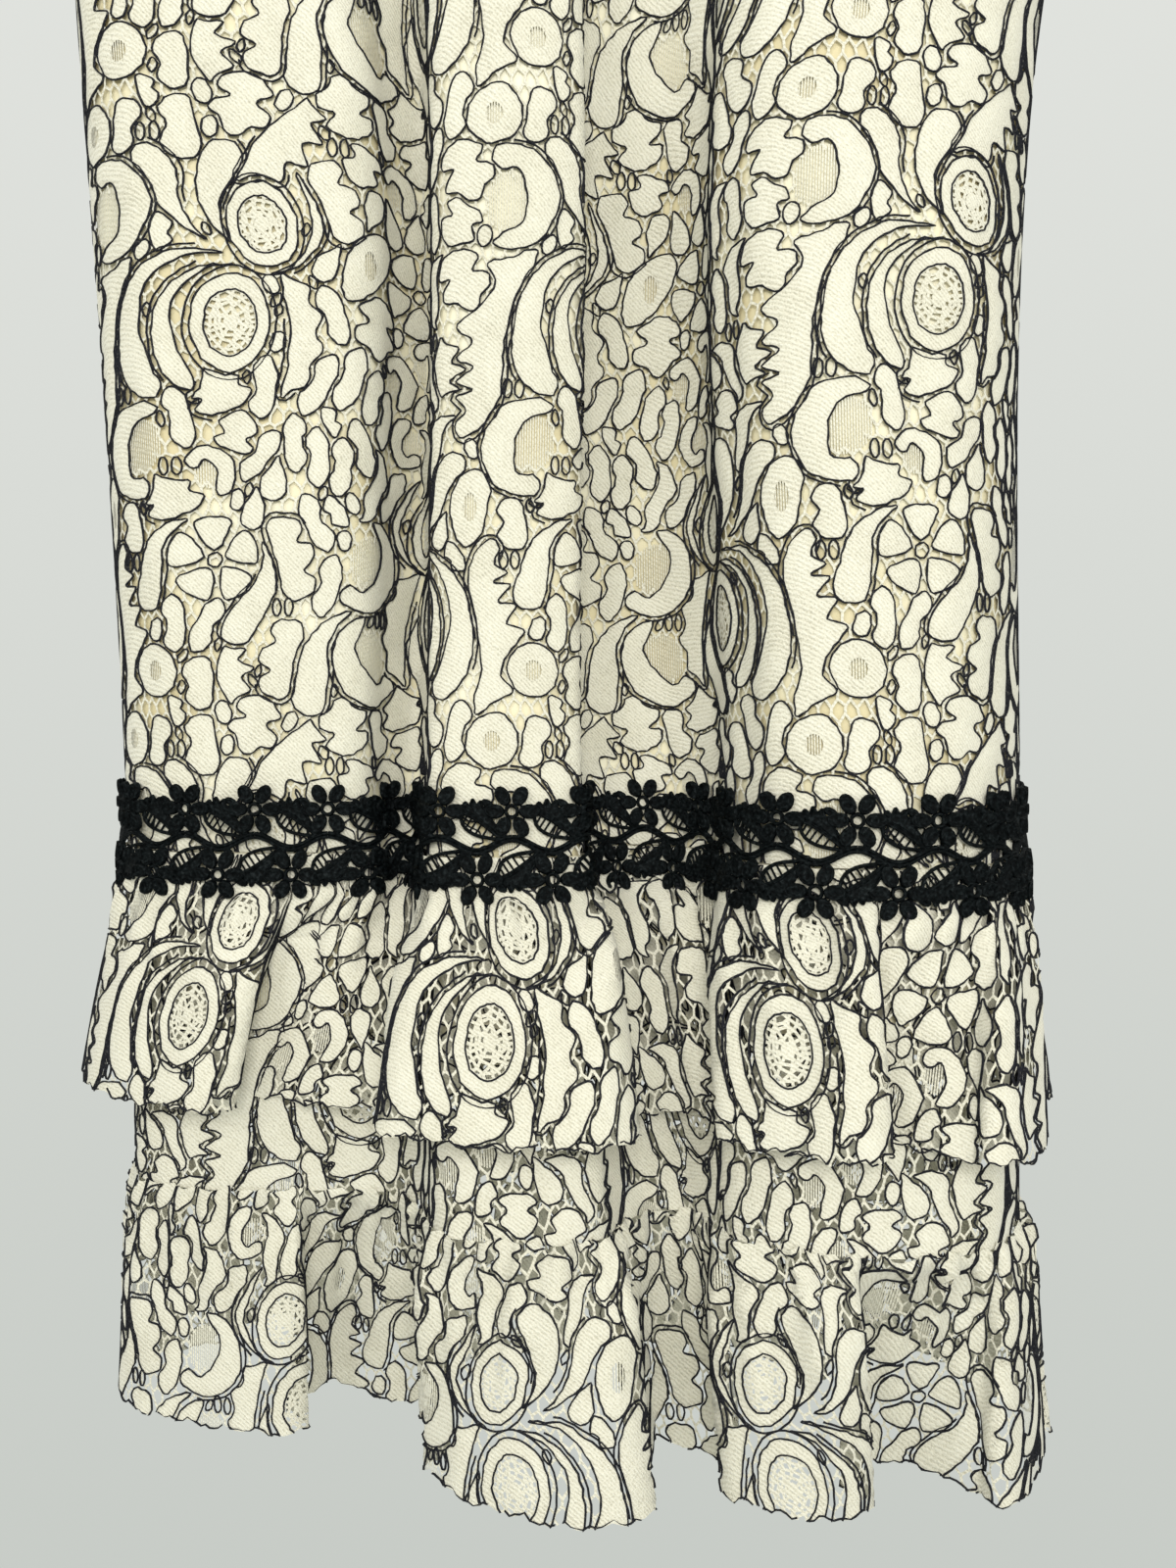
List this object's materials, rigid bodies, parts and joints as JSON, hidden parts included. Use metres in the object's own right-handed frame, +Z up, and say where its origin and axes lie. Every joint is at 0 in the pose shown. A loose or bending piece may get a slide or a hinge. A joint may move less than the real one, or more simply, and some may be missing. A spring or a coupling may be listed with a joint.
{
  "type": "lace dress on hanger",
  "caption": "Long sleeveless corded lace dress with a black flower trim and two gathered ruffles, hanging from a plain wooden hanger by its hook.",
  "frame": {"origin": "under the crest of the hanger's hook, where a rail carries it", "axes": "+Z up, the dress's front faces -Y, +X to the right as the front is seen"},
  "size_m": [0.4563, 0.1885, 1.114],
  "materials": {
    "corded_lace": "matte felted lace motifs outlined with black cord on a cream net",
    "beige_lining": "smooth golden beige woven lining",
    "black_guipure": "matte black embroidered flower trim",
    "pale_wood": "satin pale wood",
    "steel_wire": "polished steel wire"
  },
  "bodies": {
    "root": {"dress_front": "corded_lace", "dress_back": "corded_lace", "tier_front": "corded_lace", "tier_back": "corded_lace", "upper_ruffle_front": "corded_lace", "upper_ruffle_back": "corded_lace", "lower_ruffle_front": "corded_lace", "lower_ruffle_back": "corded_lace", "lining_front_bodice": "beige_lining", "lining_front_left": "beige_lining", "lining_front_middle": "beige_lining", "lining_front_right": "beige_lining", "lining_back": "beige_lining", "trim_front": "black_guipure", "trim_back": "black_guipure", "hanger_bar": "pale_wood", "hanger_hook": "steel_wire"}
  },
  "joints": []
}
